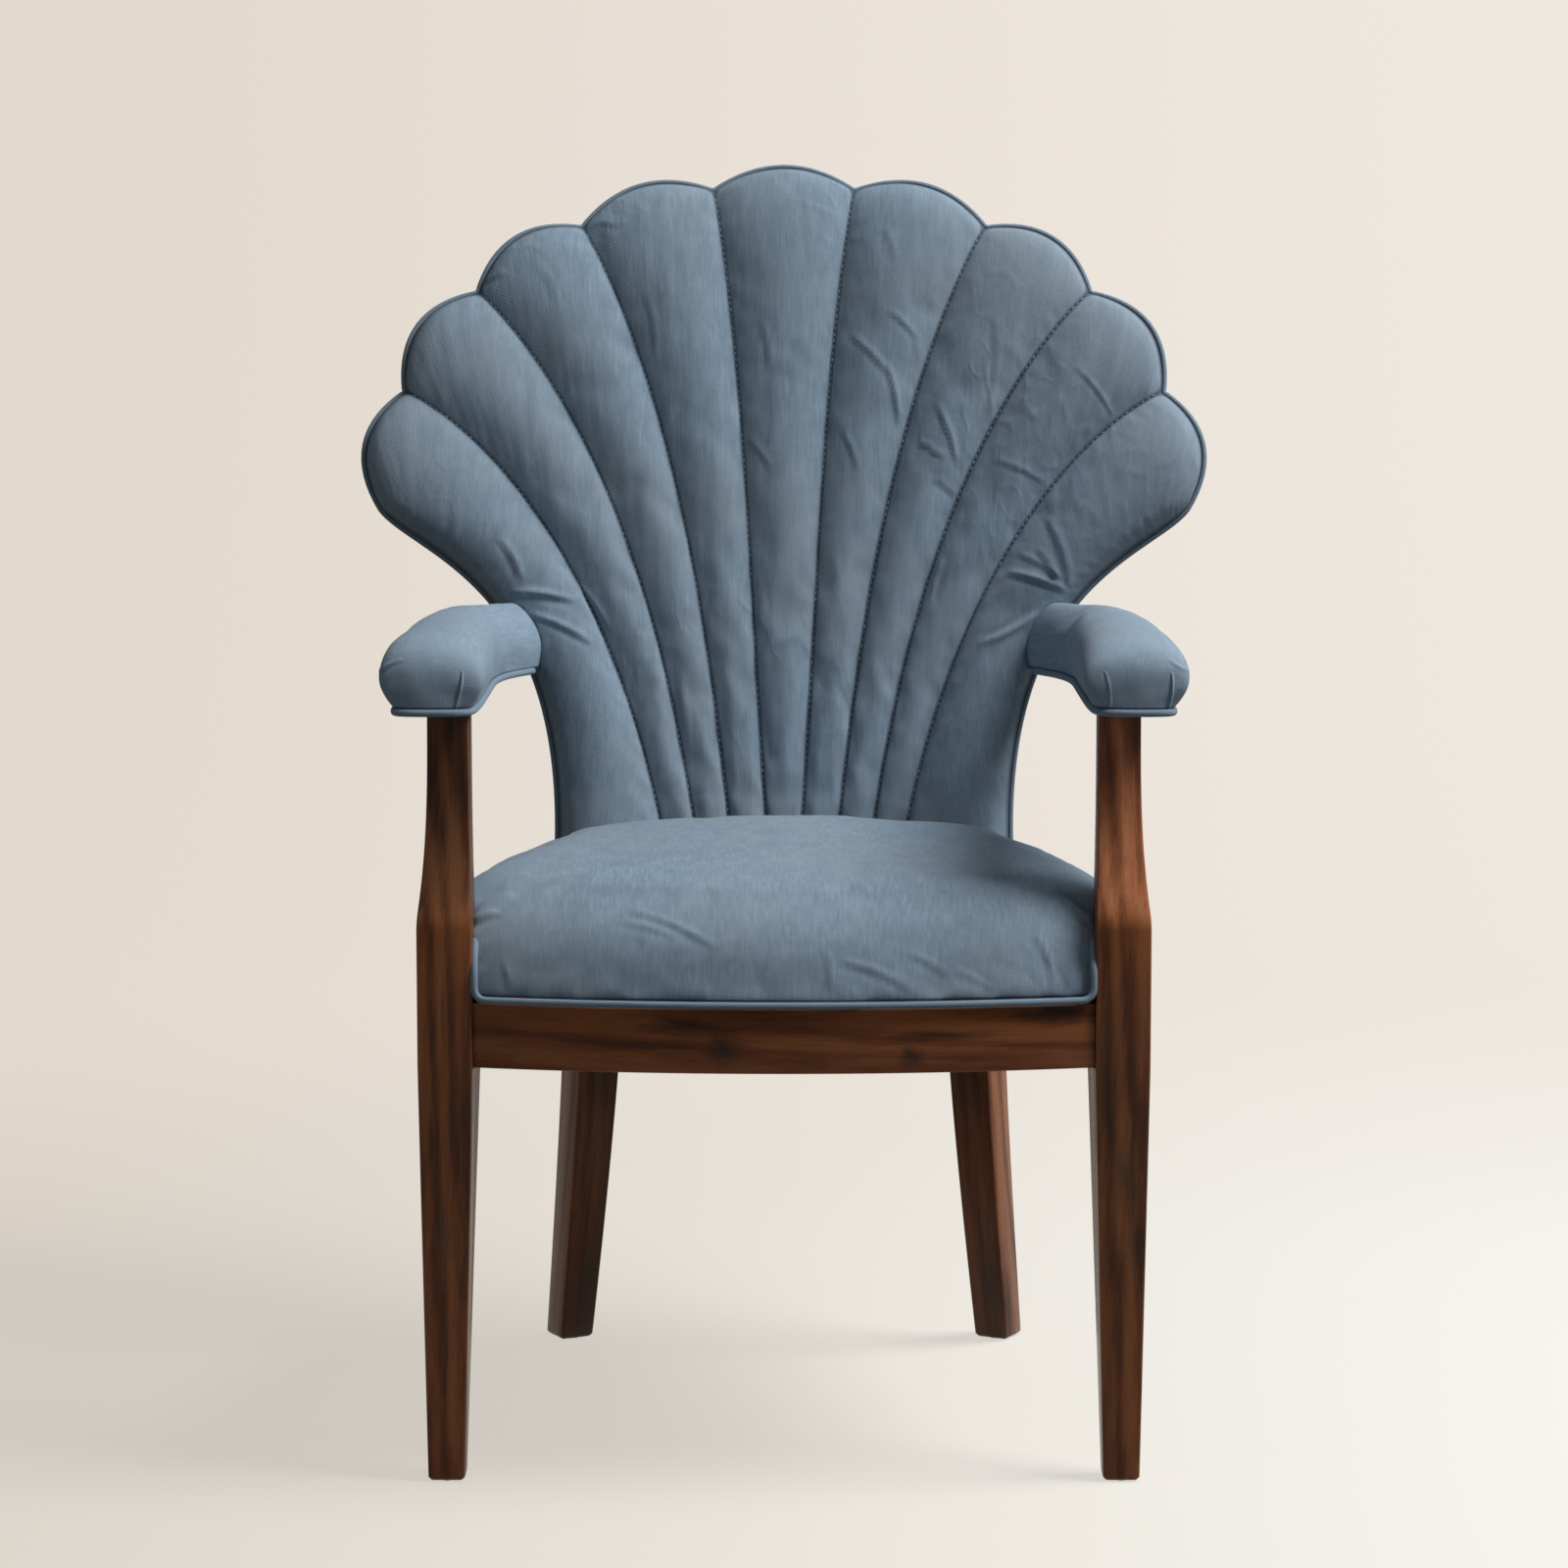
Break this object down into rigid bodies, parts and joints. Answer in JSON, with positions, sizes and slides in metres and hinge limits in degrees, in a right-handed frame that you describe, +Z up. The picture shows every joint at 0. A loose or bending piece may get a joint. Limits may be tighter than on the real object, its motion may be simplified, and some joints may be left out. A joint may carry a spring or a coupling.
{
  "type": "fan back armchair",
  "caption": "Upholstered dining armchair with a scalloped, channelled fan back, padded arms on curved posts, a bowed seat and splayed rear legs.",
  "frame": {"origin": "on the floor, under the middle of the chair's bounding box", "axes": "+Z up, -Y towards the front of the chair, +X to the right as seen from the front"},
  "size_m": [0.7404, 0.6256, 1.0517],
  "materials": {
    "walnut": "dark brown stained hardwood with a satin clear finish",
    "inner_wood": "bare sawn hardwood inside the upholstery",
    "plywood": "bent plywood",
    "zinc": "zinc plated steel",
    "blue_linen": "dusty blue linen weave with matching piping",
    "foam": "cut upholstery foam",
    "webbing": "woven jute webbing",
    "black_cambric": "black cambric",
    "nylon": "dark brown nylon"
  },
  "bodies": {
    "root": {"front_leg_left": "walnut", "front_leg_right": "walnut", "rear_leg_left": "walnut", "rear_leg_right": "walnut", "seat_rail_front": "walnut", "seat_rail_rear": "walnut", "seat_rail_left": "walnut", "seat_rail_right": "walnut", "corner_block_front_left": "inner_wood", "corner_block_front_right": "inner_wood", "corner_block_rear_left": "inner_wood", "corner_block_rear_right": "inner_wood", "arm_rail_left": "inner_wood", "arm_rail_right": "inner_wood", "back_cross_rail": "inner_wood", "back_lower_rail": "inner_wood", "back_panel": "plywood", "corner_screw_front_left_a": "zinc", "corner_screw_front_left_b": "zinc", "corner_screw_front_right_a": "zinc", "corner_screw_front_right_b": "zinc", "corner_screw_rear_left_a": "zinc", "corner_screw_rear_left_b": "zinc", "corner_screw_rear_right_a": "zinc", "corner_screw_rear_right_b": "zinc", "panel_screw_1": "zinc", "panel_screw_2": "zinc", "panel_screw_3": "zinc", "panel_screw_4": "zinc", "arm_bolt_left": "zinc", "arm_bolt_right": "zinc", "arm_cover_left": "blue_linen", "arm_cover_right": "blue_linen", "arm_welt_left": "blue_linen", "arm_welt_right": "blue_linen", "back_cover_front": "blue_linen", "back_cover_rear": "blue_linen", "back_welt": "blue_linen", "seat_cover": "blue_linen", "seat_welt_front": "blue_linen", "seat_welt_left": "blue_linen", "seat_welt_right": "blue_linen", "arm_pad_left": "foam", "arm_pad_right": "foam", "back_foam": "foam", "seat_foam": "foam", "webbing_long_1": "webbing", "webbing_long_2": "webbing", "webbing_long_3": "webbing", "webbing_long_4": "webbing", "webbing_cross_1": "webbing", "webbing_cross_2": "webbing", "webbing_cross_3": "webbing", "webbing_cross_4": "webbing", "dust_cover": "black_cambric", "glide_front_left": "nylon", "glide_front_right": "nylon", "glide_rear_left": "nylon", "glide_rear_right": "nylon"}
  },
  "joints": []
}
